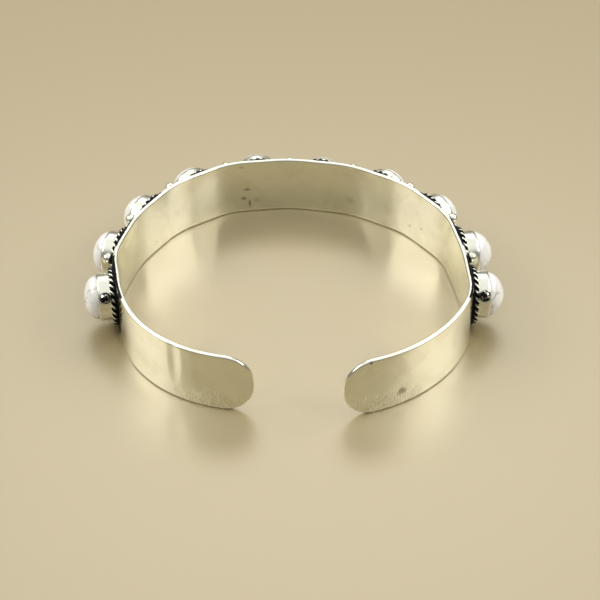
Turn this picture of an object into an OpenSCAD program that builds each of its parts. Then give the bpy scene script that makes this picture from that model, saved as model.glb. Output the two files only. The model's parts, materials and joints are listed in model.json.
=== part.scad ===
// Open cuff bangle: a thin silver band with ten round cabochons in one row across its back.
// Each cabochon stands in a plain bezel cup on a round base plate, ringed by a twisted wire.
// The bangle lies on the band's lower edge. X runs to the right, Y to the back, Z up,
// and the two ends of the band face each other at the front.

/* [Band] */
// Height of the band, from its lower edge to its upper edge
band_h = 11.5; // [11.3:0.1:14]
// Thickness of the band
band_t = 0.9; // [0.8:0.1:1.2]
// Radius of the rounded corners at the band's two ends
end_r = 5.4; // [2:0.1:5.5]

/* [Plan, right side first] */
// Length of the flat stretch behind each stone
flat_len = 5; // [4:0.1:6]
// Turn of the band at the middle of the back
back_turn = 17.5; // [12:0.5:22]
// Turns of the right side at its four gaps, from the back to the front
turns_right = [21.5, 22, 25.5, 8]; // [4:0.5:28]
// Turns of the left side at its four gaps, from the back to the front
turns_left = [27.5, 23.5, 16.5, 25]; // [4:0.5:28]
// Length of the shoulder past the last stone, right and left
shoulder_len = [6, 6]; // [5:0.5:10]
// Turn of the shoulder, right and left
shoulder_turn = [25, 10]; // [5:1:30]
// Length of the bare arm past the shoulder, right and left
arm_len = [29.1, 29.6]; // [24:0.1:31]
// Turn of the bare arm, right and left
arm_turn = [58.5, 72.5]; // [50:0.5:75]

/* [Row of stones] */
// Distance from one stone to the next along the band
pitch = 12; // [11.8:0.1:12.4]
// Height of the row's centre line above the middle of the band
row_rise = 0.3; // [0:0.1:0.3]
// Radius of the cabochons
stone_r = 3.95; // [3.6:0.05:4]
// Height of a stone's side below its dome
stone_side = 2.75; // [2.5:0.05:3]
// Heights of the right side's domes, from the back to the front
domes_right = [3.1, 3, 2.9, 3.4, 3.1]; // [2.6:0.1:3.5]
// Heights of the left side's domes, from the back to the front
domes_left = [3.1, 3.2, 3.2, 2.9, 2.7]; // [2.6:0.1:3.5]
// Radius of the domes' shoulders
shoulder_r = 2.3; // [2:0.05:2.5]

/* [Settings] */
// Radius of the round base plate under each setting
plate_r = 5.4; // [5.3:0.05:5.6]
// Height of the base plate above the middle of the band's wall
plate_top = 0.65; // [0.65:0.05:0.8]
// Thickness of the bezel cup's wall
cup_t = 0.24; // [0.2:0.01:0.3]
// Height of the bezel cup above the base plate
cup_h = 3; // [2.8:0.1:3.2]
// How much higher each cup of the right side stands with its stone, from the back to the front
rises_right = [-0.4, 0.15, 0.15, 0.15, 0]; // [-0.4:0.05:0.4]
// How much higher each cup of the left side stands with its stone, from the back to the front
rises_left = [0.4, 0.35, 0.15, 0, 0]; // [-0.4:0.05:0.4]
// Height of the lip that closes over the stone at the cup's rim
lip_h = 0.3; // [0.2:0.05:0.5]
// Gap left between a stone and its cup, at the side and below
seat_gap = 0.06; // [0.05:0.01:0.1]
// Radius of the ring of twisted wire, to the middle of the wire
ring_r = 4.82; // [4.8:0.02:4.9]
// Radius of the twisted wire
wire_r = 0.5; // [0.46:0.01:0.5]

/* [Granules] */
// Radius of the granules between the settings
granule_r = 1.05; // [0.95:0.05:1.1]
// Height of the granules above the lower edge of the band
granule_z = 9.7; // [9:0.1:10]
// Angle of the two end granules above the row, seen from the last stone's centre
end_granule_a = 34; // [25:1:45]

/* [Hidden] */
// Stones on each side of the middle gap: one more than the side's gaps
side_count = len(turns_right) + 1;
stone_names = [for (i = [1:2 * side_count]) str("stone_", i < 10 ? "0" : "", i)];

$fn = 72;
right = 0;
left = 1;
turns = [turns_right, turns_left];
domes = [domes_right, domes_left];
rises = [rises_right, rises_left];
row_z = band_h / 2 + row_rise;
gap_len = pitch - flat_len;
silver = [0.86, 0.83, 0.76];
howlite = [0.93, 0.93, 0.91];

// Depth by which soldered pieces run into what they stand on
solder = 0.1;

// Largest turn from one point to the next on the band's curved walls
arc_step = 3;

// The web carries the granules and fills the gap between two base plates. Its ends lie in the plates.
web_h = 2 * (sqrt(plate_r ^ 2 - (flat_len / 2) ^ 2) - solder);
web_top = plate_top - solder;
granule_out = web_top + granule_r - solder;

// Levels and radii of a setting, with the middle of the band's wall as level 0
seat = plate_top + seat_gap;
side_top = seat + stone_side;
cup_foot = plate_top - solder;
cup_top = plate_top + cup_h;
cup_in = stone_r + seat_gap;
cup_out = cup_in + cup_t;
wire_level = plate_top + wire_r - solder;

// The two end granules rest on the last rings of wire, against the side of the last cups.
end_granule_x = cup_out + granule_r - solder;
end_granule_level = wire_level + sqrt((granule_r + wire_r) ^ 2 - (end_granule_x - ring_r) ^ 2) - solder;

// The lip leans in: its outer edge by lip_lean, its inner edge by half of the seat's gap.
lip_lean = 0.1;
lip_out = cup_out - lip_lean;
lip_in = cup_in - seat_gap / 2;

// The crown of a dome h high is an arc that meets the arc of its shoulder smoothly.
shoulder_x = stone_r - shoulder_r;
function crown_r(h) = (shoulder_x ^ 2 + h ^ 2 - shoulder_r ^ 2) / (2 * (h - shoulder_r));
function crown_a(h) = atan2(shoulder_x, crown_r(h) - h);

// Level at which the dome of stone i of a side begins
function dome_base(side, i) = side_top + rises[side][i];

// One half of the band as [length, turn] stretches, from the middle of the back to the end
function stretches(side) = concat(
    [[gap_len / 2, back_turn / 2]],
    [for (i = [0:2 * side_count - 2]) i % 2 == 0 ? [flat_len, 0] : [gap_len, turns[side][(i - 1) / 2]]],
    [[shoulder_len[side], shoulder_turn[side]], [arm_len[side], arm_turn[side]]]
);

// Straight distance between the two ends of a bent stretch
function chord(len, turn) = turn == 0 ? len : 2 * arc_r(len, turn) * sin(turn / 2);
function arc_r(len, turn) = len * 180 / (PI * turn);

// Place and heading [x, y, angle] after a stretch, starting from the pose p
function advance(p, len, turn) = [
    p.x + chord(len, turn) * cos(p.z - turn / 2),
    p.y + chord(len, turn) * sin(p.z - turn / 2),
    p.z - turn
];

// Pose at the start of stretch n of a side, drawn as a right side
function pose(side, n) =
    n == 0 ? [0, 0, 0] : advance(pose(side, n - 1), stretches(side)[n - 1][0], stretches(side)[n - 1][1]);

// Pose at the middle of flat i, at the middle of the gap after flat i, and at a side's end
function flat_pose(side, i) = advance(pose(side, 2 * i + 1), flat_len / 2, 0);
function gap_pose(side, i) = advance(pose(side, 2 * i + 2), gap_len / 2, turns[side][i] / 2);
function end_pose(side) = pose(side, 2 * side_count + 2);

// Poses along stretch n of a side in steps of arc_step or less, from step first on
function stretch_path(side, n, first = 0) =
    let (len = stretches(side)[n][0], turn = stretches(side)[n][1], steps = max(1, ceil(turn / arc_step)))
    [for (k = [first:steps]) advance(pose(side, n), len * k / steps, turn * k / steps)];

// Poses along a whole side, without the middle of the back
function side_path(side) = [for (n = [0:2 * side_count + 1]) each stretch_path(side, n, 1)];
function mirrored(path) = [for (p = path) [-p.x, p.y, -p.z]];
function reversed(list) = [for (i = [len(list) - 1:-1:0]) list[i]];
whole_path = concat(reversed(mirrored(side_path(left))), [[0, 0, 0]], side_path(right));

// The points that lie a distance d outwards from a path
function beside(path, d) = [for (p = path) [p.x - d * sin(p.z), p.y + d * cos(p.z)]];

// Reach of a dome along the direction [u, v], and the furthest reach of a side's domes
function dome_reach(p, base, h, u, v) =
    let (along = -u * sin(p.z) + v * cos(p.z), across = sqrt(max(0, 1 - along ^ 2)))
    max([for (a = [0:2:90]) let (
        crown = a < crown_a(h),
        x = crown ? crown_r(h) * sin(a) : shoulder_x + shoulder_r * sin(a),
        y = crown ? base + h - crown_r(h) + crown_r(h) * cos(a) : base + shoulder_r * cos(a)
    ) u * p.x + v * p.y + along * y + across * x]);
function side_reach(side, u, v) = max([
    for (i = [0:side_count - 1]) dome_reach(flat_pose(side, i), dome_base(side, i), domes[side][i], u, v)
]);

// Foremost point of the band's outer wall, and rearmost point of the stones
band_front = min([for (q = beside(whole_path, band_t / 2)) q.y]);
stone_back = max(side_reach(right, 0, 1), side_reach(left, 0, 1));

// Middle of the whole bangle's outline in the plan
mid_x = (side_reach(right, 1, 0) - side_reach(left, 1, 0)) / 2;
mid_y = (stone_back + band_front) / 2;

// Puts the middle of the bangle's outline over the origin
module centred() {
    translate([-mid_x, -mid_y, 0])
        children();
}

// Draws for one side. The left side is the mirror image of one drawn as a right side.
module on_side(side) {
    mirror([side, 0, 0])
        children();
}

// Local X runs along the band, local Y points out of the bangle
module at_pose(p) {
    translate([p.x, p.y, 0])
        rotate([0, 0, p.z])
            children();
}

// Turns a shape drawn upright round Z so that it stands on the band's outer face
module facing_out() {
    translate([0, 0, row_z])
        rotate([-90, 0, 0])
            children();
}

// A curved wall along a path, between two distances from the path and two heights
module wall(path, from, to, low, high) {
    translate([0, 0, low])
        linear_extrude(high - low)
            polygon(concat(beside(path, to), reversed(beside(path, from))));
}

// What is cut away to round the two corners of a band's end
module end_corners(side) {
    depth = 4 * band_t;
    over = 1;
    at_pose(end_pose(side))
        for (top = [0, 1])
            translate([-end_r, 0, top * band_h])
                mirror([0, 0, top])
                    rotate([90, 0, 0])
                        linear_extrude(depth, center = true)
                            difference() {
                                translate([0, -over])
                                    square(end_r + over);
                                translate([0, end_r])
                                    circle(end_r);
                            }
}

module band() {
    difference() {
        wall(whole_path, -band_t / 2, band_t / 2, 0, band_h);
        for (side = [right, left])
            on_side(side)
                end_corners(side);
    }
}

// Bezel cup, base plate and ring of wire, drawn round Z with the band's wall at z = 0
module setting(rise) {
    top = cup_top + rise;
    cylinder(h = plate_top, r = plate_r);
    rotate_extrude()
        polygon([
            [cup_in, cup_foot],
            [cup_out, cup_foot],
            [cup_out, top - lip_h],
            [lip_out, top],
            [lip_in, top],
            [cup_in, top - lip_h]
        ]);
    translate([0, 0, wire_level])
        rotate_extrude()
            translate([ring_r, 0])
                circle(wire_r, $fn = 32);
}

module settings() {
    for (side = [right, left])
        on_side(side)
            for (i = [0:side_count - 1])
                at_pose(flat_pose(side, i))
                    facing_out()
                        setting(rises[side][i]);
}

// The webs lie on the band's outer face and carry the granules between two base plates
module web(path) {
    wall(path, 0, web_top, row_z - web_h / 2, row_z + web_h / 2);
}

module webs() {
    web(concat(reversed(mirrored(stretch_path(left, 0))), stretch_path(right, 0, 1)));
    for (side = [right, left], i = [0:side_count - 2])
        on_side(side)
            web(stretch_path(side, 2 * i + 2));
}

module granule() {
    sphere(granule_r, $fn = 40);
}

module granules() {
    translate([0, granule_out, granule_z])
        granule();
    for (side = [right, left])
        on_side(side) {
            for (i = [0:side_count - 2])
                at_pose(gap_pose(side, i))
                    translate([0, granule_out, granule_z])
                        granule();
            at_pose(flat_pose(side, side_count - 1))
                translate([
                    end_granule_x * cos(end_granule_a),
                    end_granule_level,
                    row_z + end_granule_x * sin(end_granule_a)
                ])
                    granule();
        }
}

module silver_cuff() {
    color(silver)
        centred() {
            band();
            webs();
            settings();
            granules();
        }
}

// Stone number i, counted from the left end of the row to its right end
module stone(i) {
    side = i < side_count ? left : right;
    place = i < side_count ? side_count - 1 - i : i - side_count;
    color(howlite)
        centred()
            on_side(side)
                at_pose(flat_pose(side, place))
                    facing_out()
                        cabochon(dome_base(side, place), domes[side][place]);
}

// A flat-bottomed stone with an upright side up to base and a dome h high, drawn round Z
module cabochon(base, h) {
    crown_r = crown_r(h);
    crown_y = base + h - crown_r;
    rotate_extrude()
        intersection() {
            translate([0, seat])
                square([stone_r, base + h - seat]);
            union() {
                translate([0, seat])
                    square([stone_r, base - seat]);
                translate([shoulder_x, base])
                    circle(shoulder_r);
                intersection() {
                    translate([0, crown_y])
                        circle(crown_r);
                    polygon([
                        [0, crown_y],
                        [0, crown_y + 2 * crown_r],
                        [2 * crown_r * tan(crown_a(h)), crown_y + 2 * crown_r]
                    ]);
                }
            }
        }
}

silver_cuff();
for (i = [0:2 * side_count - 1])
    stone(i);
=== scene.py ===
# Open silver cuff bangle with one row of round white stones, lying on the lower edge of its
# band. Metres, +Z up; the two ends of the band face each other at the front, towards -Y.
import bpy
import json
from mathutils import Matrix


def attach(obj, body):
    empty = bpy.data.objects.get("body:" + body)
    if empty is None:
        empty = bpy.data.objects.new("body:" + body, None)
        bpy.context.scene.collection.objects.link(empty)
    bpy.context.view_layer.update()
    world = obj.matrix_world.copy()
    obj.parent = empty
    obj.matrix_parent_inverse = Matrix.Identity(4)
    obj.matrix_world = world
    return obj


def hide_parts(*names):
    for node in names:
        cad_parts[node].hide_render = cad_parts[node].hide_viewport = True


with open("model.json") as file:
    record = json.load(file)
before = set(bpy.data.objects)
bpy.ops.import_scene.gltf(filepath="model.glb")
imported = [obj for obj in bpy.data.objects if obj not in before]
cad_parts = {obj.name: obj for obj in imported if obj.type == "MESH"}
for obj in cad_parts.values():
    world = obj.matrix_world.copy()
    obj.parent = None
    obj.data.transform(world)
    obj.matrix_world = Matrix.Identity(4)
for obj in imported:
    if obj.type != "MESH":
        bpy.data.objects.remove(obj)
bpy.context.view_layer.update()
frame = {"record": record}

import json
import math

import bpy
from mathutils import Vector

# The plan of the hoop
# The strip is bent by hand to an open hoop: flat behind each stone, turned a little between two
# stones, bent harder past the last one, and bare along the two arms that close round the wrist.
MM = 0.001
PITCH = 12 * MM
FLAT_LENGTH = 5 * MM
BEND_LENGTH = PITCH - FLAT_LENGTH
BACK_TURN = 17.5

# Each side from the back to the front: the turns between its stones in degrees, then (length,
# turn) of the shoulder and of the arm
LEFT, RIGHT = -1, 1
BENDS = {LEFT: (27.5, 23.5, 16.5, 25), RIGHT: (21.5, 22, 25.5, 8)}
SHOULDER = {LEFT: (6 * MM, 10), RIGHT: (6 * MM, 25)}
ARM = {LEFT: (29.6 * MM, 72.5), RIGHT: (29.1 * MM, 58.5)}

# The part's mount is on the floor, under the middle of the back
BACK = Vector(frame["record"]["mounts"][0]["pos_m"])


def stretches(side):
    """A side's stretches as (length, turn in degrees), from the middle of the back to the end."""
    bent = [stretch for turn in BENDS[side] for stretch in ((FLAT_LENGTH, 0), (BEND_LENGTH, turn))]
    return [(BEND_LENGTH / 2, BACK_TURN / 2)] + bent + [(FLAT_LENGTH, 0), SHOULDER[side], ARM[side]]


def along_plan(distance):
    """The wall's middle line at a distance from the middle of the back, and the way it heads there.

    A distance to the left is negative, and the heading turns from +X.
    """
    side = LEFT if distance < 0 else RIGHT
    rest = abs(distance)
    x = y = heading = 0
    for length, turn in stretches(side):
        part = min(1, rest / length)
        half = math.radians(turn * part / 2)
        chord = length * part * (math.sin(half) / half if half else 1)
        x += chord * math.cos(heading - half)
        y += chord * math.sin(heading - half)
        heading -= 2 * half
        rest -= length * part
    return BACK + Vector((side * x, y, 0)), side * heading


def on_wall(distance, height, out, beyond=0):
    """The point at a distance along the plan, a height above the floor and so far out of the wall.

    beyond goes straight on from there, without following the bend.
    """
    place, heading = along_plan(distance)
    ahead = Vector((math.cos(heading), math.sin(heading), 0))
    return place + ahead * beyond + Vector((-ahead.y * out, ahead.x * out, height))


# The band
# One strip of silver sheet, 0.9 mm thick, with its two ends filed round and its edges rubbed soft.
# It is polished, and worn: hairlines, a warm haze, stains, a dark pit, a crease and brushed arms.
BAND_HEIGHT = 11.5 * MM
BAND_THICKNESS = 0.9 * MM
END_RADIUS = 5.4 * MM
BAND_EDGE = 0.36 * MM
BAND_START = -sum(length for length, _ in stretches(LEFT))
BAND_END = sum(length for length, _ in stretches(RIGHT))

# How finely the mesh is cut: columns in each round end, rows, the width of the other columns, and
# steps round half of the soft edge
END_COLUMNS = 16
ROWS = 22
COLUMN_STEP = 0.45 * MM
EDGE_STEPS = 6


def strip(name, start, end, low, high, inner, outer, radius, edge):
    """A closed wall along the plan, with round corners of that radius and soft edges.

    The vertex attribute strip holds each point's distance along the plan, height and distance out.
    """
    columns = 2 * END_COLUMNS + round((end - start - 2 * radius) / COLUMN_STEP)

    def spot(column, row, inset):
        """A grid point's distance and height, with the whole outline set in by so much."""
        corner = radius - inset
        first = math.pi / 2 * min(1, column / END_COLUMNS)
        last = math.pi / 2 * min(1, (columns - column) / END_COLUMNS)
        middle = (column - END_COLUMNS) / (columns - 2 * END_COLUMNS)
        middle = min(1, max(0, middle))
        distance = start + inset + corner * (1 - math.cos(first)) + corner * math.cos(last)
        distance += (end - start - 2 * radius) * middle
        bottom = low + inset + corner * (2 - math.sin(first) - math.sin(last))
        return distance, bottom + (low + high - 2 * bottom) * row / ROWS

    border = [(column, 0) for column in range(columns)]
    border += [(columns, row) for row in range(ROWS)]
    border += [(column, ROWS) for column in range(columns, 0, -1)]
    border += [(0, row) for row in range(ROWS, 0, -1)]
    grid = [(column, row) for column in range(columns + 1) for row in range(ROWS + 1)]

    # The soft edge from the outer face to the inner face, as (inset, distance out)
    turns = [math.pi / 2 * step / EDGE_STEPS for step in range(EDGE_STEPS + 1)]
    rim = [(edge * (1 - math.sin(turn)), outer - edge * (1 - math.cos(turn))) for turn in turns]
    rim += [(edge * (1 - math.cos(turn)), inner + edge * (1 - math.sin(turn))) for turn in turns]

    points, strip_points, faces = [], [], []

    def add_points(spots, inset, out):
        """Adds a point for each spot, at a distance out of the wall, and tells their numbers."""
        numbers = {}
        for spot_key in spots:
            distance, height = spot(*spot_key, inset)
            numbers[spot_key] = len(points)
            points.append(on_wall(distance, height, out))
            strip_points.append((distance, height, out))
        return numbers

    rings = [add_points(grid, *rim[0])]
    rings += [add_points(border, inset, out) for inset, out in rim[1:-1]]
    rings += [add_points(grid, *rim[-1])]
    for column in range(columns):
        for row in range(ROWS):
            cell = [(column, row), (column, row + 1), (column + 1, row + 1), (column + 1, row)]
            faces.append([rings[0][key] for key in cell])
            faces.append([rings[-1][key] for key in reversed(cell)])
    for near, far in zip(rings, rings[1:]):
        for here, there in zip(border, border[1:] + border[:1]):
            faces.append([near[here], near[there], far[there], far[here]])

    mesh = bpy.data.meshes.new(name)
    mesh.from_pydata(points, [], faces)
    attribute = mesh.attributes.new("strip", "FLOAT_VECTOR", "POINT")
    attribute.data.foreach_set("vector", [value for point in strip_points for value in point])
    mesh.shade_smooth()
    piece = bpy.data.objects.new(name, mesh)
    bpy.context.collection.objects.link(piece)
    return piece


def add(tree, kind, inputs=(), **settings):
    """A new node in a tree, with its settings, and its inputs taken from values or other sockets."""
    node = tree.nodes.new(kind)
    for name, value in settings.items():
        setattr(node, name, value)
    for name, value in dict(inputs).items():
        if isinstance(value, bpy.types.NodeSocket):
            tree.links.new(value, node.inputs[name])
        else:
            node.inputs[name].default_value = value
    return node


def calc(tree, operation, *values):
    """The result of one math node."""
    return add(tree, "ShaderNodeMath", enumerate(values), operation=operation).outputs[0]


def plus_share(tree, value, mask, share):
    """A value plus a share of a mask."""
    return calc(tree, "ADD", value, calc(tree, "MULTIPLY", mask, share))


def blend(tree, share, first, second, kind="RGBA"):
    """A colour or value between two others."""
    factor, a, b, result = {"RGBA": (0, 6, 7, 2), "FLOAT": (0, 2, 3, 0)}[kind]
    inputs = {factor: share, a: first, b: second}
    return add(tree, "ShaderNodeMix", inputs, data_type=kind).outputs[result]


def ramp(tree, value, low, high, to_low=0.0, to_high=1.0):
    """A value that goes smoothly from one level to another as the given one goes from low to high."""
    inputs = {"Value": value, "From Min": low, "From Max": high, "To Min": to_low, "To Max": to_high}
    return add(tree, "ShaderNodeMapRange", inputs, interpolation_type="SMOOTHSTEP").outputs[0]


def scaled(tree, vector, factor):
    """A vector times a factor."""
    return add(tree, "ShaderNodeVectorMath", {0: vector, "Scale": factor}, operation="SCALE").outputs[0]


def millimetres(tree, vector):
    """A vector in metres, scaled to millimetres."""
    return scaled(tree, vector, 1 / MM)


def noise(tree, where, scale, detail, **inputs):
    """Soft random patches, with values on both sides of 0.5."""
    inputs.update(Vector=where, Scale=scale, Detail=detail)
    return add(tree, "ShaderNodeTexNoise", inputs).outputs[0]


def bump(tree, height, distance, below=None):
    """A normal that is bumped by a height of 0 to 1, on top of the one below it."""
    inputs = {"Height": height, "Distance": distance, "Strength": 1.0}
    if below is not None:
        inputs["Normal"] = below
    return add(tree, "ShaderNodeBump", inputs).outputs[0]


def new_group(name, sockets):
    """An empty shader node group with named inputs and one output, Mask: its tree, inputs and output."""
    group = bpy.data.node_groups.new(name, "ShaderNodeTree")
    for socket, value in sockets.items():
        kind = "NodeSocketVector" if isinstance(value, tuple) else "NodeSocketFloat"
        group.interface.new_socket(name=socket, in_out="INPUT", socket_type=kind).default_value = value
    group.interface.new_socket(name="Mask", in_out="OUTPUT", socket_type="NodeSocketFloat")
    return group, group.nodes.new("NodeGroupInput").outputs, group.nodes.new("NodeGroupOutput").inputs


# The hairlines' directions: (turn in degrees, a shift that makes each set different), a small tilt
# that all of them have, in radians, and the mapping scale that draws the pattern out along them
HAIRLINES = ((8, 3.1), (-24, 17.7), (71, 41.3))
HAIRLINE_TILT = (0.2, 0.1)
HAIRLINE_STRETCH = (0.16, 3.2, 1.6)


def scratches_group():
    """Hairline scratches in three directions. Vector is in millimetres."""
    sockets = {"Vector": (0, 0, 0), "Share": 0.5, "Fineness": 5}
    group, given, result = new_group("hairline scratches", sockets)
    total = 0.0
    for turn, shift in HAIRLINES:
        mapping = {"Vector": given["Vector"], "Location": (shift, -shift, shift),
                   "Rotation": (*HAIRLINE_TILT, math.radians(turn)), "Scale": HAIRLINE_STRETCH}
        turned = add(group, "ShaderNodeMapping", mapping).outputs[0]
        lines = ramp(group, noise(group, turned, given["Fineness"], 2, Roughness=0.6), 0.63, 0.74)
        total = calc(group, "MAXIMUM", total, lines)
    group.links.new(calc(group, "MULTIPLY", total, given["Share"]), result["Mask"])
    return group


def haze_group():
    """Cloudy patches of handling haze and tarnish. Vector and Size are in millimetres."""
    group, given, result = new_group("tarnish haze", {"Vector": (0, 0, 0), "Size": 5, "Amount": 0.5})
    scale = calc(group, "DIVIDE", 1, given["Size"])
    clouds = noise(group, given["Vector"], scale, 5, Roughness=0.62, Distortion=0.7)
    patches = ramp(group, clouds, 0.42, 0.72)
    group.links.new(calc(group, "MULTIPLY", patches, given["Amount"]), result["Mask"])
    return group


def reach_from_centre(group, given, thickness):
    """Vector's distance from Centre; 1 is the edge of an oval of that Width, Height and thickness."""
    centred = {0: given["Vector"], 1: given["Centre"]}
    offset = add(group, "ShaderNodeVectorMath", centred, operation="SUBTRACT").outputs[0]
    sizes = {"X": given["Width"], "Y": given["Height"], "Z": thickness}
    size = add(group, "ShaderNodeCombineXYZ", sizes).outputs[0]
    share = add(group, "ShaderNodeVectorMath", {0: offset, 1: size}, operation="DIVIDE").outputs[0]
    return add(group, "ShaderNodeVectorMath", {0: share}, operation="LENGTH").outputs["Value"]


def stain_group():
    """One small spot with a ragged edge. Vector, Centre and sizes are in millimetres."""
    sockets = {"Vector": (0, 0, 0), "Centre": (0, 0, 0), "Width": 1, "Height": 1, "Strength": 1}
    group, given, result = new_group("stain", sockets)
    ragged = noise(group, given["Vector"], 2.2, 3)
    reach = plus_share(group, reach_from_centre(group, given, 0.4), ragged, 0.9)
    spot = ramp(group, reach, 0.7, 1.35, 1.0, 0.0)
    group.links.new(calc(group, "MULTIPLY", spot, given["Strength"]), result["Mask"])
    return group


def dent_group():
    """One low hollow with a soft edge. Vector, Centre and sizes are in millimetres."""
    sockets = {"Vector": (0, 0, 0), "Centre": (0, 0, 0), "Width": 1, "Height": 1}
    group, given, result = new_group("dent", sockets)
    reach = reach_from_centre(group, given, 1.0)
    group.links.new(ramp(group, reach, 0.0, 1.4, 1.0, 0.0), result["Mask"])
    return group


def use(tree, group, **inputs):
    """The mask that a node group gives for these inputs."""
    return add(tree, "ShaderNodeGroup", inputs, node_tree=group).outputs[0]


SCRATCHES, HAZE, STAIN, DENT_MASK = scratches_group(), haze_group(), stain_group(), dent_group()
CLEAN_SILVER = (0.92, 0.93, 0.825, 1)
WARM_TARNISH = (0.60, 0.52, 0.37, 1)
STAIN_BROWN = (0.20, 0.165, 0.085, 1)
# Black of oxide on silver; on the band by the settings it is also painted shade, on the end granules also a
# painted dark reflection
BLACK_OXIDE_AND_PAINTED_DARK = (0.008, 0.0075, 0.007, 1)

# The specular level of the black layer, which shines little; bare silver takes no notice of it
BLACK_SPECULAR = 0.05


def new_material(name, metallic, specular=0.5):
    """A material with one Principled shader: the material, its tree and the shader's inputs."""
    material = bpy.data.materials.new(name)
    material.use_nodes = True
    shader = material.node_tree.nodes["Principled BSDF"]
    shader.inputs["Metallic"].default_value = metallic
    shader.inputs["Specular IOR Level"].default_value = specular
    return material, material.node_tree, shader.inputs


def ragged_soot_and_painted_dark(tree, flecks, low, high):
    """The soot attribute as a mask that rises from low to high, with flecks in its edge. It holds oxide,
    and also painted shade on the band and a painted dark reflection on the end granules.
    """
    soot_and_painted_dark = add(tree, "ShaderNodeAttribute", attribute_name="soot_and_painted_dark").outputs["Fac"]
    return ramp(tree, calc(tree, "ADD", soot_and_painted_dark, calc(tree, "SUBTRACT", flecks, 0.5)), low, high)


# The band's two faces and the depth of its filed rim, in millimetres, like all places and sizes of
# the marks below
INSIDE, OUTSIDE = -BAND_THICKNESS / 2 / MM, BAND_THICKNESS / 2 / MM
RIM_DEPTH = 0.2
RIM_FROM = BAND_HEIGHT / MM - RIM_DEPTH

# What has marked the band: (along the plan, height, wall side, how wide, how tall, strength)
STAINS = (
    (-8.0, 1.9, INSIDE, 0.25, 1.4, 0.95),
    (-9.2, 3.2, INSIDE, 0.8, 0.7, 0.6),
    (-8.5, 5.2, INSIDE, 1.0, 0.5, 0.6),
    (-9.5, 10.4, INSIDE, 0.8, 0.3, 0.45),
    (-6.6, 2.6, INSIDE, 1.0, 0.9, 0.25),
    (-31.0, 2.1, INSIDE, 0.3, 0.3, 0.7),
    (12.2, 3.7, INSIDE, 1.3, 1.1, 0.2),
    (26.2, 3.0, INSIDE, 0.5, 0.4, 0.55),
    (29.5, 4.1, INSIDE, 0.4, 0.5, 0.5),
    (81.2, 2.9, OUTSIDE, 1.35, 1.2, 0.75),
    (87.0, 11.1, OUTSIDE, 0.5, 0.5, 0.8),
)

# The low crease across the left arm: (along the plan, height, wall side), its size, and its depth
# in metres
DENT = (-78.0, 8.5, OUTSIDE)
DENT_WIDTH, DENT_HEIGHT = 1.2, 4.8
DENT_DEPTH = 0.14 * MM

# The brushing low on both arms: from where along the plan, and under which height once the ragged
# patches have raised it by 4 mm or so; the strokes lean a little and are drawn out upright
BRUSHED_FROM, BRUSHED_FULLY_FROM = 72, 84
BRUSHED_FULLY_BELOW, BRUSHED_BELOW = 6, 9
BRUSHED_TILT = math.radians(8)
BRUSHED_STRETCH = (3.6, 0.45, 1.0)
BRUSHED_TONE = (0.99, 0.97, 0.90, 1)


def brushing(tree, where, flecks, wave):
    """A mask of brush strokes in ragged patches, low on the outside of both arms."""
    parts = add(tree, "ShaderNodeSeparateXYZ", {0: where}).outputs
    mapping = {"Vector": where, "Rotation": (0, 0, BRUSHED_TILT), "Scale": BRUSHED_STRETCH}
    drawn_out = add(tree, "ShaderNodeMapping", mapping).outputs[0]
    strokes = ramp(tree, noise(tree, drawn_out, 1.0, 3, Roughness=0.6, Distortion=0.9), 0.44, 0.66)
    patches = plus_share(tree, calc(tree, "MULTIPLY", flecks, 2), wave, 6)
    level = calc(tree, "ADD", parts["Y"], patches)
    low = ramp(tree, level, BRUSHED_FULLY_BELOW, BRUSHED_BELOW, 1.0, 0.0)
    on_arms = ramp(tree, calc(tree, "ABSOLUTE", parts["X"]), BRUSHED_FROM, BRUSHED_FULLY_FROM)
    brushed = calc(tree, "MULTIPLY", calc(tree, "MULTIPLY", low, on_arms), strokes)
    return calc(tree, "MULTIPLY", brushed, ramp(tree, parts["Z"], 0.0, 0.2))


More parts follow.
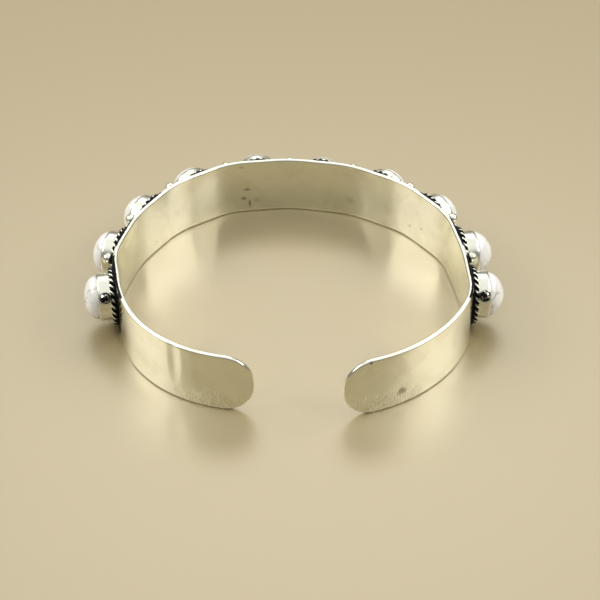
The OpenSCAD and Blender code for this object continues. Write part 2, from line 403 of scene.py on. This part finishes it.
def band_finish():
    """Polished silver with all its wear, and blackening outside next to the settings: oxide, and painted
    shade where the settings shade the band.
    """
    material, tree, shader = new_material("polished silver band", 1.0, BLACK_SPECULAR)
    where = millimetres(tree, add(tree, "ShaderNodeAttribute", attribute_name="strip").outputs["Vector"])
    parts = add(tree, "ShaderNodeSeparateXYZ", {0: where}).outputs
    haze = use(tree, HAZE, Vector=where, Size=6.5, Amount=0.6)
    lines = use(tree, SCRATCHES, Vector=where, Share=0.4, Fineness=1.3)
    flecks = noise(tree, where, 1.3, 4)
    wave = noise(tree, where, 0.16, 1.5)
    brushed = brushing(tree, where, flecks, wave)
    filed = ramp(tree, parts["Y"], RIM_FROM, RIM_FROM + 0.15)
    dent = use(tree, DENT_MASK, Vector=where, Centre=DENT, Width=DENT_WIDTH, Height=DENT_HEIGHT)
    stains = 0.0
    for along, height, side, wide, tall, strength in STAINS:
        stain = use(tree, STAIN, Vector=where, Centre=(along, height, side), Width=wide, Height=tall,
                    Strength=strength)
        stains = calc(tree, "MAXIMUM", stains, stain)
    # Black on the outer half next to the settings: oxide, and painted shade where the settings shade the
    # band
    outer_half = ramp(tree, plus_share(tree, parts["Z"], flecks, 0.3), 0.12, 0.26)
    soot_and_painted_dark = calc(tree, "MULTIPLY", ragged_soot_and_painted_dark(tree, flecks, 0.35, 0.6), outer_half)

    colour = blend(tree, calc(tree, "MULTIPLY", haze, 0.45), CLEAN_SILVER, WARM_TARNISH)
    colour = blend(tree, stains, colour, STAIN_BROWN)
    colour = blend(tree, soot_and_painted_dark, colour, BLACK_OXIDE_AND_PAINTED_DARK)
    colour = blend(tree, calc(tree, "MULTIPLY", brushed, 0.45), colour, BRUSHED_TONE)
    tree.links.new(colour, shader["Base Color"])
    tree.links.new(calc(tree, "SUBTRACT", 1, soot_and_painted_dark), shader["Metallic"])

    roughness = 0.13
    for mask, more in ((haze, 0.14), (filed, 0.22), (brushed, 0.25), (lines, 0.12)):
        roughness = plus_share(tree, roughness, mask, more)
    dull = calc(tree, "MULTIPLY", calc(tree, "MAXIMUM", stains, soot_and_painted_dark), 0.5)
    tree.links.new(calc(tree, "MAXIMUM", roughness, dull), shader["Roughness"])

    cut = calc(tree, "MULTIPLY", calc(tree, "MAXIMUM", lines, stains), -1.0)
    normal = bump(tree, wave, 0.10 * MM)
    normal = bump(tree, cut, 0.005 * MM, normal)
    normal = bump(tree, brushed, 0.014 * MM, normal)
    normal = bump(tree, dent, -DENT_DEPTH, normal)
    tree.links.new(normal, shader["Normal"])
    return material


STONE_COUNT = 10
ROW_HEIGHT = BAND_HEIGHT / 2 + 0.3 * MM
STONE_PLACES = [(number - (STONE_COUNT - 1) / 2) * PITCH for number in range(STONE_COUNT)]
ROW_END = STONE_PLACES[-1]

# How far the black, oxide with painted shade, reaches past the middle of the last stone, and over how
# far it fades
SOOT_AND_SHADE_REACH = 6.4 * MM
DARK_FADE = 0.9 * MM

# On the upper rim the black shows next to the foremost stones alone, as painted shade as well as
# oxide: from this distance along the plan, so far to both sides of a stone's middle, and farther past
# the last one
SOOTY_SHADED_RIM_FROM = 28 * MM
SOOTY_SHADED_RIM_REACH = 4.2 * MM
SOOTY_SHADED_RIM_PAST_ROW = 7.6 * MM


def soot_and_shade_at(distance, height):
    """How black the band's outer half is at a point of the strip: oxide, and painted shade from the
    settings.
    """
    past = max(0, abs(distance) - ROW_END)
    if height > BAND_HEIGHT - RIM_DEPTH * MM:
        if abs(distance) < SOOTY_SHADED_RIM_FROM:
            return 0.0
        nearest = min(abs(distance - place) for place in STONE_PLACES)
        reach = SOOTY_SHADED_RIM_PAST_ROW if past else SOOTY_SHADED_RIM_REACH
        return min(1, max(0, 1 - (nearest - reach) / DARK_FADE))
    if past == 0:
        return 1.0
    return min(1, max(0, 1 - (math.hypot(past, height - ROW_HEIGHT) - SOOT_AND_SHADE_REACH) / DARK_FADE))


band = strip("silver_band", BAND_START, BAND_END, 0, BAND_HEIGHT, -BAND_THICKNESS / 2, BAND_THICKNESS / 2,
             END_RADIUS, BAND_EDGE)
places = [point.vector for point in band.data.attributes["strip"].data]
# The band's black next to the settings, kept on its points: oxide and painted shade
blackening_and_painted_dark = band.data.attributes.new("soot_and_painted_dark", "FLOAT", "POINT")
blackening_and_painted_dark.data.foreach_set("value", [soot_and_shade_at(place.x, place.y) for place in places])
band.data.materials.append(band_finish())
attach(band, "root")
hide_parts("silver_cuff")

# The webs
# Blackened metal on the outside of the band, which fills the gaps between two base plates and
# carries the granules. It runs on under the plates, and is soldered to the band.
WEB_HEIGHT = 9.4 * MM
WEB_OUT = 0.55 * MM
WEB_CORNER = 0.5 * MM
WEB_EDGE = 0.05 * MM


def blackened_finish(name, has_crests=False):
    """Black silver with a few bright flecks, or rubbed bright where the attribute crest is high."""
    material, tree, shader = new_material(name, 1.0, BLACK_SPECULAR)
    where = millimetres(tree, add(tree, "ShaderNodeTexCoord").outputs["Object"])
    grain = noise(tree, where, 2.4, 6, Roughness=0.7)
    if has_crests:
        crest = add(tree, "ShaderNodeAttribute", attribute_name="crest").outputs["Fac"]
        rubbed = ramp(tree, plus_share(tree, crest, grain, 0.3), 0.95, 1.10)
    else:
        rubbed = ramp(tree, grain, 0.60, 0.82, 0.0, 0.35)
    tree.links.new(blend(tree, rubbed, BLACK_OXIDE_AND_PAINTED_DARK, CLEAN_SILVER), shader["Base Color"])
    tree.links.new(rubbed, shader["Metallic"])
    tree.links.new(blend(tree, rubbed, 0.42, 0.16, "FLOAT"), shader["Roughness"])
    tree.links.new(bump(tree, grain, 0.03 * MM), shader["Normal"])
    return material


BLACKENED = blackened_finish("blackened silver")
webs = strip("gap_webs", -ROW_END, ROW_END, ROW_HEIGHT - WEB_HEIGHT / 2, ROW_HEIGHT + WEB_HEIGHT / 2,
             0, WEB_OUT, WEB_CORNER, WEB_EDGE)
webs.data.materials.append(BLACKENED)
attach(webs, "root")
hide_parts("silver_cuff")

# The base plates
# Ten round silver discs, blackened, soldered to the flats of the band. The cup and the ring of
# twisted wire stand on each of them.
PLATE_RADIUS = 5.4 * MM
PLATE_SIDES = 96

# A distance out of the wall's middle, as are the feet, tops and levels in the sections below
PLATE_TOP = 0.65 * MM

# How far hand work moves the surface in and out, and how close together, as a noise scale
PLATE_UNEVENNESS = (0.04 * MM, 600)


def points_on_band(name, spots, blackening_and_painted_dark=None):
    """A mesh of loose points at on_wall's spots, without faces.

    Each holds the heading of the band there, and the black given for it: oxide and painted dark reflection.
    """
    mesh = bpy.data.meshes.new(name)
    mesh.from_pydata([on_wall(*spot) for spot in spots], [], [])
    heading = mesh.attributes.new("heading", "FLOAT", "POINT")
    heading.data.foreach_set("value", [along_plan(spot[0])[1] for spot in spots])
    if blackening_and_painted_dark:
        mesh.attributes.new("soot_and_painted_dark", "FLOAT", "POINT").data.foreach_set("value", blackening_and_painted_dark)
    piece = bpy.data.objects.new(name, mesh)
    bpy.context.collection.objects.link(piece)
    return piece


def new_tree(name, sizes):
    """An empty geometry tree with named sizes and a material as inputs."""
    tree = bpy.data.node_groups.new(name, "GeometryNodeTree")
    tree.interface.new_socket(name="Geometry", in_out="INPUT", socket_type="NodeSocketGeometry")
    for size, value in sizes.items():
        kind = "NodeSocketInt" if isinstance(value, int) else "NodeSocketFloat"
        tree.interface.new_socket(name=size, in_out="INPUT", socket_type=kind).default_value = value
    tree.interface.new_socket(name="Material", in_out="INPUT", socket_type="NodeSocketMaterial")
    tree.interface.new_socket(name="Geometry", in_out="OUTPUT", socket_type="NodeSocketGeometry")
    return tree, tree.nodes.new("NodeGroupInput").outputs


def stand_on_points(tree, given, thing):
    """Copies of a thing drawn round Z, one on each point, turned to face out of the band."""
    heading = add(tree, "GeometryNodeInputNamedAttribute", {"Name": "heading"}, data_type="FLOAT").outputs[0]
    turned = add(tree, "ShaderNodeCombineXYZ", {"X": -math.pi / 2, "Z": heading}).outputs[0]
    rotation = add(tree, "FunctionNodeEulerToRotation", {"Euler": turned}).outputs[0]
    inputs = {"Points": given["Geometry"], "Instance": thing, "Rotation": rotation}
    copies = add(tree, "GeometryNodeInstanceOnPoints", inputs).outputs[0]
    return add(tree, "GeometryNodeRealizeInstances", {"Geometry": copies}).outputs[0]


def uneven(tree, geometry, amount, scale):
    """The same geometry with its surface moved in and out a little, as hand work leaves it."""
    random = add(tree, "ShaderNodeTexNoise", {"Scale": scale, "Detail": 1.0}).outputs[0]
    level = calc(tree, "MULTIPLY", calc(tree, "SUBTRACT", random, 0.5), amount)
    offset = scaled(tree, add(tree, "GeometryNodeInputNormal").outputs[0], level)
    return add(tree, "GeometryNodeSetPosition", {"Geometry": geometry, "Offset": offset}).outputs[0]


def end_tree(tree, given, geometry):
    """Smooth shading, the material and the output."""
    smooth = add(tree, "GeometryNodeSetShadeSmooth", {"Geometry": geometry}).outputs[0]
    inputs = {"Geometry": smooth, "Material": given["Material"]}
    coated = add(tree, "GeometryNodeSetMaterial", inputs).outputs[0]
    tree.links.new(coated, tree.nodes.new("NodeGroupOutput").inputs[0])


def grow(piece, tree, material):
    """Runs a geometry tree on a piece and keeps what it makes as the piece's plain mesh."""
    modifier = piece.modifiers.new(tree.name, "NODES")
    modifier.node_group = tree
    sockets = {item.name: item.identifier for item in tree.interface.items_tree if item.in_out == "INPUT"}
    modifier[sockets["Material"]] = material
    depsgraph = bpy.context.evaluated_depsgraph_get()
    mesh = bpy.data.meshes.new_from_object(piece.evaluated_get(depsgraph), preserve_all_data_layers=True,
                                           depsgraph=depsgraph)
    piece.modifiers.clear()
    piece.data = mesh
    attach(piece, "root")
    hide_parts("silver_cuff")


def plates_tree():
    """A disc on each point, cut into enough faces to be made uneven."""
    sizes = {"Radius": PLATE_RADIUS, "Top": PLATE_TOP, "Sides": PLATE_SIDES}
    tree, given = new_tree("base plates", sizes)
    cylinder = {"Vertices": given["Sides"], "Side Segments": 5, "Fill Segments": 6,
                "Radius": given["Radius"], "Depth": given["Top"]}
    disc = add(tree, "GeometryNodeMeshCylinder", cylinder).outputs[0]
    lift = add(tree, "ShaderNodeCombineXYZ", {"Z": calc(tree, "MULTIPLY", given["Top"], 0.5)}).outputs[0]
    disc = add(tree, "GeometryNodeTransform", {"Geometry": disc, "Translation": lift}).outputs[0]
    end_tree(tree, given, uneven(tree, stand_on_points(tree, given, disc), *PLATE_UNEVENNESS))
    return tree


SETTINGS = [(place, ROW_HEIGHT, 0) for place in STONE_PLACES]
plates = points_on_band("base_plates", SETTINGS)
grow(plates, plates_tree(), BLACKENED)

# The bezel cups
# Ten plain straight-sided cups of thin silver strip, soldered upright on the plates, some a little
# higher than others. Their rim is rubbed over the edge of the stone, which holds it.
CUP_INNER = 4.01 * MM
CUP_WALL = 0.24 * MM
CUP_FOOT = 0.2 * MM
CUP_TOP = 3.65 * MM
CUP_LIP = 0.4 * MM
LIP_LEAN = 0.1 * MM
CUP_SOOT = 1.75 * MM
CUP_SIDES = 120
CUP_PROFILE_POINTS = 64
CUP_UNEVENNESS = (0.05 * MM, 350)

# From the left end of the row to its right end: how much higher the cup stands, with its stone
RISES = [rise * MM for rise in (0, 0, 0.15, 0.35, 0.4, -0.4, 0.15, 0.15, 0.15, 0)]


def plain_silver(name, roughness, haze_amount, scratch_share):
    """Polished silver for the small pieces, hazy and scratched, and black where soot is high: oxide on the
    cups' feet, and oxide with a painted dark reflection on the two end granules.
    """
    material, tree, shader = new_material(name, 1.0, BLACK_SPECULAR)
    where = millimetres(tree, add(tree, "ShaderNodeTexCoord").outputs["Object"])
    haze = use(tree, HAZE, Vector=where, Size=2.2, Amount=haze_amount)
    lines = use(tree, SCRATCHES, Vector=where, Share=scratch_share, Fineness=2.4)
    soot_and_painted_dark = ragged_soot_and_painted_dark(tree, noise(tree, where, 1.6, 4), 0.4, 0.55)
    colour = blend(tree, calc(tree, "MULTIPLY", haze, 0.5), CLEAN_SILVER, WARM_TARNISH)
    bare = plus_share(tree, plus_share(tree, roughness, haze, 0.16), lines, 0.1)
    tree.links.new(blend(tree, soot_and_painted_dark, colour, BLACK_OXIDE_AND_PAINTED_DARK), shader["Base Color"])
    tree.links.new(calc(tree, "SUBTRACT", 1, soot_and_painted_dark), shader["Metallic"])
    tree.links.new(blend(tree, soot_and_painted_dark, bare, 0.28, "FLOAT"), shader["Roughness"])
    tree.links.new(bump(tree, calc(tree, "MULTIPLY", lines, -1.0), 0.005 * MM), shader["Normal"])
    return material


def place_parts(tree):
    """The X, Y and Z of each point's place."""
    place = add(tree, "GeometryNodeInputPosition").outputs[0]
    return add(tree, "ShaderNodeSeparateXYZ", {0: place}).outputs


def moved_to(tree, geometry, x, y, z):
    """The same geometry with each point moved to a new place."""
    place = add(tree, "ShaderNodeCombineXYZ", {"X": x, "Y": y, "Z": z}).outputs[0]
    return add(tree, "GeometryNodeSetPosition", {"Geometry": geometry, "Position": place}).outputs[0]


def marked(tree, geometry, name, value):
    """The same geometry with a value kept on its points, under a name."""
    inputs = {"Geometry": geometry, "Name": name, "Value": value}
    node = add(tree, "GeometryNodeStoreNamedAttribute", inputs, data_type="FLOAT", domain="POINT")
    return node.outputs[0]


def cups_tree():
    """A thin upright wall round Z whose rim leans in, on each point."""
    sizes = {"Inner Radius": CUP_INNER, "Wall": CUP_WALL, "Foot": CUP_FOOT, "Top": CUP_TOP, "Lip": CUP_LIP,
             "Lean": LIP_LEAN, "Soot": CUP_SOOT, "Sides": CUP_SIDES}
    tree, given = new_tree("bezel cups", sizes)
    height = calc(tree, "SUBTRACT", given["Top"], given["Foot"])
    section = {"Width": given["Wall"], "Height": height}
    profile = add(tree, "GeometryNodeCurvePrimitiveQuadrilateral", section).outputs[0]
    resampled = {"Curve": profile, "Count": CUP_PROFILE_POINTS}
    profile = add(tree, "GeometryNodeResampleCurve", resampled).outputs[0]
    middle = calc(tree, "ADD", given["Inner Radius"], calc(tree, "MULTIPLY", given["Wall"], 0.5))
    round_z = {"Radius": middle, "Resolution": given["Sides"]}
    circle = add(tree, "GeometryNodeCurvePrimitiveCircle", round_z).outputs[0]
    wall = add(tree, "GeometryNodeCurveToMesh", {"Curve": circle, "Profile Curve": profile}).outputs[0]

    parts = place_parts(tree)
    level = calc(tree, "ADD", parts["Z"], calc(tree, "MULTIPLY", height, 0.5))
    share = ramp(tree, calc(tree, "SUBTRACT", height, level), 0.0, given["Lip"], 1.0, 0.0)
    lean = calc(tree, "MULTIPLY", share, given["Lean"])
    inward = calc(tree, "SUBTRACT", 1, calc(tree, "DIVIDE", lean, middle))
    raised = calc(tree, "ADD", level, given["Foot"])
    x, y = [calc(tree, "MULTIPLY", parts[axis], inward) for axis in "XY"]
    wall = moved_to(tree, wall, x, y, raised)
    soot_and_painted_dark = ramp(tree, raised, given["Soot"], calc(tree, "ADD", given["Soot"], DARK_FADE), 1.0, 0.0)
    wall = marked(tree, wall, "soot_and_painted_dark", soot_and_painted_dark)
    end_tree(tree, given, uneven(tree, stand_on_points(tree, given, wall), *CUP_UNEVENNESS))
    return tree


cups = points_on_band("bezel_cups", [(place, ROW_HEIGHT, rise) for place, rise in zip(STONE_PLACES, RISES)])
grow(cups, cups_tree(), plain_silver("bezel silver", 0.22, 0.3, 0.5))

# The twisted wire
# Two thin round wires twisted together and closed to a ring round each cup. They are blackened,
# and rubbed bright again where they stand proud.
RING_RADIUS = 4.8 * MM
RING_OUT = 1.06 * MM
STRAND_RADIUS = 0.28 * MM
STRAND_OFFSET = 0.24 * MM
STRAND_SIDES = 10
TWISTS = 13
SAMPLES_PER_TWIST = 14


def length_of(tree, first, second):
    """The distance that two offsets at right angles make."""
    squares = [calc(tree, "POWER", part, 2) for part in (first, second)]
    return calc(tree, "SQRT", calc(tree, "ADD", *squares))


def wire_tree():
    """Two strands that wind round one ring, on each point."""
    sizes = {"Ring Radius": RING_RADIUS, "Level": RING_OUT, "Strand Radius": STRAND_RADIUS,
             "Strand Offset": STRAND_OFFSET, "Twists": TWISTS, "Strand Sides": STRAND_SIDES}
    tree, given = new_tree("twisted wire", sizes)
    section = {"Radius": given["Strand Radius"], "Resolution": given["Strand Sides"]}
    profile = add(tree, "GeometryNodeCurvePrimitiveCircle", section).outputs[0]
    whole_turn = {"Radius": 1.0, "Resolution": calc(tree, "MULTIPLY", given["Twists"], SAMPLES_PER_TWIST)}
    way = calc(tree, "MULTIPLY", add(tree, "GeometryNodeSplineParameter").outputs["Factor"], 2 * math.pi)
    strands = add(tree, "GeometryNodeJoinGeometry")
    for start in (0, math.pi):
        circle = add(tree, "GeometryNodeCurvePrimitiveCircle", whole_turn).outputs[0]
        phase = calc(tree, "ADD", calc(tree, "MULTIPLY", way, given["Twists"]), start)
        reach = calc(tree, "MULTIPLY", calc(tree, "COSINE", phase), given["Strand Offset"])
        reach = calc(tree, "ADD", reach, given["Ring Radius"])
        rise = calc(tree, "MULTIPLY", calc(tree, "SINE", phase), given["Strand Offset"])
        x, y = [calc(tree, "MULTIPLY", reach, calc(tree, kind, way)) for kind in ("COSINE", "SINE")]
        wound = moved_to(tree, circle, x, y, calc(tree, "ADD", rise, given["Level"]))
        strand = add(tree, "GeometryNodeCurveToMesh", {"Curve": wound, "Profile Curve": profile}).outputs[0]
        tree.links.new(strand, strands.inputs[0])

    parts = place_parts(tree)
    across = calc(tree, "SUBTRACT", length_of(tree, parts["X"], parts["Y"]), given["Ring Radius"])
    deep = calc(tree, "SUBTRACT", parts["Z"], given["Level"])
    widest = calc(tree, "ADD", given["Strand Radius"], given["Strand Offset"])
    proud = calc(tree, "DIVIDE", length_of(tree, across, deep), widest)
    rings = marked(tree, strands.outputs[0], "crest", ramp(tree, proud, 0.55, 1.0))
    end_tree(tree, given, stand_on_points(tree, given, rings))
    return tree


wires = points_on_band("twisted_wire_rings", SETTINGS)
grow(wires, wire_tree(), blackened_finish("rubbed twisted wire", has_crests=True))

# The granules
# Small silver balls with a flat foot: one melted on to the web at the upper edge of each gap, and a
# mostly black one past each end of the row, on the twisted wire against the cup. Its black is oxide
# and a painted dark reflection.
GRANULE_RADIUS = 1.05 * MM
GRANULE_HEIGHT = 9.7 * MM
GRANULE_OUT = 1.5 * MM
GRANULE_UNEVENNESS = (0.12 * MM, 420)

# How low the foot is, and over how far it turns into the ball, as shares of the radius
GRANULE_FOOT = 0.86
FOOT_SOFTNESS = 0.15

# The two past the ends: how far out of the wall they are, how far and at which angle up from the
# middle of the last stone, and how dark they are painted, as oxide and as a painted dark reflection
END_GRANULE_OUT = 2.45 * MM
END_GRANULE_REACH = 5.2 * MM
END_GRANULE_ANGLE = math.radians(34)
END_GRANULE_OXIDE_AND_PAINTED_REFLECTION = 0.58


def granules_tree():
    """A small uneven ball with a flat foot, on each point."""
    sizes = {"Radius": GRANULE_RADIUS, "Foot": GRANULE_FOOT, "Subdivisions": 5}
    tree, given = new_tree("granules", sizes)
    sphere = {"Radius": given["Radius"], "Subdivisions": given["Subdivisions"]}
    ball = add(tree, "GeometryNodeMeshIcoSphere", sphere).outputs[0]
    parts = place_parts(tree)
    foot = calc(tree, "MULTIPLY", calc(tree, "MULTIPLY", given["Radius"], given["Foot"]), -1)
    softness = calc(tree, "MULTIPLY", given["Radius"], FOOT_SOFTNESS)
    ball = moved_to(tree, ball, parts["X"], parts["Y"], calc(tree, "SMOOTH_MAX", parts["Z"], foot, softness))
    end_tree(tree, given, uneven(tree, stand_on_points(tree, given, ball), *GRANULE_UNEVENNESS))
    return tree


gaps = range(1 - STONE_COUNT // 2, STONE_COUNT // 2)
spots = [(gap * PITCH, GRANULE_HEIGHT, GRANULE_OUT) for gap in gaps]
past_last = END_GRANULE_REACH * math.cos(END_GRANULE_ANGLE)
end_height = ROW_HEIGHT + END_GRANULE_REACH * math.sin(END_GRANULE_ANGLE)
spots += [(side * ROW_END, end_height, END_GRANULE_OUT, side * past_last) for side in (LEFT, RIGHT)]
# The two end granules are painted dark: oxide, and a painted dark reflection of what they face
granules = points_on_band("granules", spots, [0.0] * len(gaps) + [END_GRANULE_OXIDE_AND_PAINTED_REFLECTION] * 2)
grow(granules, granules_tree(), plain_silver("granule silver", 0.12, 0.5, 0.4))

# The stones
# Ten polished round cabochons of white howlite with thin grey veins: an upright side, a flat
# base and a high dome. Each stands in its cup.
STONE_RADIUS = 3.95 * MM
STONE_SIDES = 96
ARC_STEPS = 12
STONE_WHITE = (0.94, 0.945, 0.93, 1)
STONE_CLOUD = (0.86, 0.87, 0.855, 1)
VEIN_GREY = (0.22, 0.22, 0.21, 1)

# How far out its base is, how tall its upright side is, and the radius of the shoulder above that
STONE_SEAT = 0.71 * MM
STONE_SIDE = 2.75 * MM
DOME_SHOULDER = 2.3 * MM

# Heights of the domes, from the left end of the row to its right end
DOMES = [height * MM for height in (2.7, 2.9, 3.2, 3.2, 3.1, 3.1, 3, 2.9, 3.4, 3.1)]


def stone_profile(rise, dome):
    """A cabochon's outline from its base to near its top, and how far out the top is.

    The outline is a list of (radius, distance out).
    """
    shoulder = STONE_RADIUS - DOME_SHOULDER
    crown = (shoulder ** 2 + dome ** 2 - DOME_SHOULDER ** 2) / (2 * (dome - DOME_SHOULDER))
    base = STONE_SEAT + STONE_SIDE + rise
    crown_middle = base + dome - crown
    meet = math.atan2(shoulder, base - crown_middle)
    outline = [(STONE_RADIUS * share, STONE_SEAT) for share in (0.4, 0.8, 0.97)]
    outline += [(STONE_RADIUS, STONE_SEAT + (base - STONE_SEAT) * share) for share in (0.03, 0.3, 0.65, 1)]
    for step in range(1, ARC_STEPS + 1):
        angle = math.pi / 2 + (meet - math.pi / 2) * step / ARC_STEPS
        radius = shoulder + DOME_SHOULDER * math.sin(angle)
        outline.append((radius, base + DOME_SHOULDER * math.cos(angle)))
    for step in range(1, ARC_STEPS):
        angle = meet * (1 - step / ARC_STEPS)
        outline.append((crown * math.sin(angle), crown_middle + crown * math.cos(angle)))
    return outline, base + dome


def cabochon(name, place, rise, dome):
    """One stone, standing on the band at a place along the plan."""
    outline, top = stone_profile(rise, dome)
    middle, heading = along_plan(place)
    middle = middle + Vector((0, 0, ROW_HEIGHT))
    along = Vector((math.cos(heading), math.sin(heading), 0))
    out = Vector((-math.sin(heading), math.cos(heading), 0))
    points = [middle + out * STONE_SEAT, middle + out * top]
    for radius, level in outline:
        for side in range(STONE_SIDES):
            angle = 2 * math.pi * side / STONE_SIDES
            sideways = along * math.cos(angle) + Vector((0, 0, math.sin(angle)))
            points.append(middle + out * level + sideways * radius)

    def number(ring, side):
        """The number of a point: the two middles come first, and a ring starts again after its end."""
        return 2 + ring * STONE_SIDES + side % STONE_SIDES

    faces = []
    last = len(outline) - 1
    for side in range(STONE_SIDES):
        faces.append([0, number(0, side), number(0, side + 1)])
        faces.append([1, number(last, side + 1), number(last, side)])
        for ring in range(last):
            corners = ((ring, side), (ring + 1, side), (ring + 1, side + 1), (ring, side + 1))
            faces.append([number(*corner) for corner in corners])
    mesh = bpy.data.meshes.new(name)
    mesh.from_pydata(points, [], faces)
    mesh.shade_smooth()
    piece = bpy.data.objects.new(name, mesh)
    bpy.context.collection.objects.link(piece)
    return piece


def howlite_finish():
    """White polished stone with thin branching grey veins and faint clouds."""
    material, tree, shader = new_material("white howlite", 0.0)
    where = millimetres(tree, add(tree, "ShaderNodeTexCoord").outputs["Object"])
    wander = {"Vector": where, "Scale": 0.35, "Detail": 4, "Roughness": 0.6}
    sway = add(tree, "ShaderNodeTexNoise", wander)
    pushed = {0: where, 1: scaled(tree, sway.outputs["Color"], 3.4)}
    bent = add(tree, "ShaderNodeVectorMath", pushed, operation="ADD").outputs[0]
    edges = []
    for scale in (0.21, 0.62):
        inputs = {"Vector": bent, "Scale": scale, "Randomness": 1.0}
        cells = add(tree, "ShaderNodeTexVoronoi", inputs, feature="DISTANCE_TO_EDGE")
        edges.append(cells.outputs["Distance"])
    wide, fine = edges
    fade = noise(tree, where, 0.45, 3)
    vein = calc(tree, "MULTIPLY", ramp(tree, wide, 0.0, 0.035, 1.0, 0.0), ramp(tree, fade, 0.40, 0.58))
    threads = calc(tree, "MULTIPLY", ramp(tree, fine, 0.0, 0.06, 0.55, 0.0), ramp(tree, fade, 0.50, 0.66))
    vein = calc(tree, "MAXIMUM", vein, threads)
    cloud = ramp(tree, sway.outputs[0], 0.45, 0.75, 0.0, 0.5)
    colour = blend(tree, cloud, STONE_WHITE, STONE_CLOUD)
    colour = blend(tree, calc(tree, "MULTIPLY", vein, 0.75), colour, VEIN_GREY)
    tree.links.new(colour, shader["Base Color"])
    tree.links.new(ramp(tree, fade, 0.3, 0.7, 0.10, 0.20), shader["Roughness"])
    tree.links.new(bump(tree, calc(tree, "MULTIPLY", vein, -1.0), 0.01 * MM), shader["Normal"])
    shader["Subsurface Weight"].default_value = 0.6
    shader["Subsurface Radius"].default_value = (1.0, 1.0, 0.95)
    shader["Subsurface Scale"].default_value = 2 * MM
    shader["Coat Weight"].default_value = 0.3
    shader["Coat Roughness"].default_value = 0.05
    return material


HOWLITE = howlite_finish()
for number, (place, rise, dome) in enumerate(zip(STONE_PLACES, RISES, DOMES), 1):
    stone = cabochon(f"cabochon_{number:02d}", place, rise, dome)
    stone.data.materials.append(HOWLITE)
    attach(stone, "root")
    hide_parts(f"stone_{number:02d}")

# The floor, the light and the camera
# A plain pale satin floor, soft boxes behind and at both sides, a soft sky that is brightest
# nearly overhead, and the camera at the photo's angle.
FLOOR_SIZE = 4
FLOOR_COLOUR = (0.312, 0.246, 0.123, 1)
FLOOR_SHINE = (1.0, 0.94, 0.82, 1)
bpy.ops.mesh.primitive_plane_add(size=FLOOR_SIZE)
floor = bpy.context.object
floor.name = "floor"
floor_finish, _, floor_shader = new_material("pale floor", 0.0, 1.0)
floor_shader["Base Color"].default_value = FLOOR_COLOUR
floor_shader["Roughness"].default_value = 0.40
floor_shader["IOR"].default_value = 2.0
floor_shader["Specular Tint"].default_value = FLOOR_SHINE
floor.data.materials.append(floor_finish)

LIGHT_DISTANCE = 0.75
SOFT_WHITE = (1.0, 0.975, 0.92)


def soft_light(name, turn, rise, width, height, power):
    """A rectangular area light that faces the middle of the bangle.

    turn goes from +Y towards +X and rise up from the floor, both in degrees.
    """
    turn, rise = math.radians(turn), math.radians(rise)
    level = math.cos(rise) * LIGHT_DISTANCE
    place = (level * math.sin(turn), level * math.cos(turn), math.sin(rise) * LIGHT_DISTANCE)
    lamp = bpy.data.lights.new(name, "AREA")
    lamp.shape = "RECTANGLE"
    lamp.size = width
    lamp.size_y = height
    lamp.energy = power
    lamp.color = SOFT_WHITE
    light = bpy.data.objects.new(name, lamp)
    light.location = place
    light.rotation_euler = (-Vector(place)).to_track_quat("-Z", "Y").to_euler()
    bpy.context.collection.objects.link(light)


soft_light("soft_back", 0, 46, 0.55, 0.24, 0.75)
soft_light("soft_left", -84, 38, 0.65, 0.28, 2.85)
soft_light("soft_right", 84, 38, 0.65, 0.28, 2.85)

SKY_RISE = math.radians(80)
SKY_DIM = (0.23, 0.225, 0.205, 1)
SKY_BRIGHT = (0.94, 0.945, 0.91, 1)
world = bpy.data.worlds.new("studio")
bpy.context.scene.world = world
world.use_nodes = True
sky = world.node_tree
towards = add(sky, "ShaderNodeTexCoord").outputs["Generated"]
brightest = (0.0, math.cos(SKY_RISE), math.sin(SKY_RISE))
near = add(sky, "ShaderNodeVectorMath", {0: towards, 1: brightest}, operation="DOT_PRODUCT").outputs["Value"]
tone = blend(sky, ramp(sky, near, 0.4, 0.8), SKY_DIM, SKY_BRIGHT)
sky.links.new(tone, sky.nodes["Background"].inputs["Color"])
sky.nodes["Background"].inputs["Strength"].default_value = 1.0

# The polished walls throw sharp bright patches on the floor, so light off them isn't blurred.
bpy.context.scene.cycles.blur_glossy = 0.0

CAMERA_PLACE = Vector((0.00712, -0.23825, 0.18470))
CAMERA_AIM = Vector((0.00093, -0.00193, 0.0))
CAMERA_LENS = 97.78
camera_data = bpy.data.cameras.new("camera")
camera_data.lens = CAMERA_LENS
camera = bpy.data.objects.new("camera", camera_data)
camera.location = CAMERA_PLACE
camera.rotation_euler = (CAMERA_AIM - CAMERA_PLACE).to_track_quat("-Z", "Y").to_euler()
bpy.context.collection.objects.link(camera)
bpy.context.scene.camera = camera
bpy.context.scene.view_settings.view_transform = "Standard"
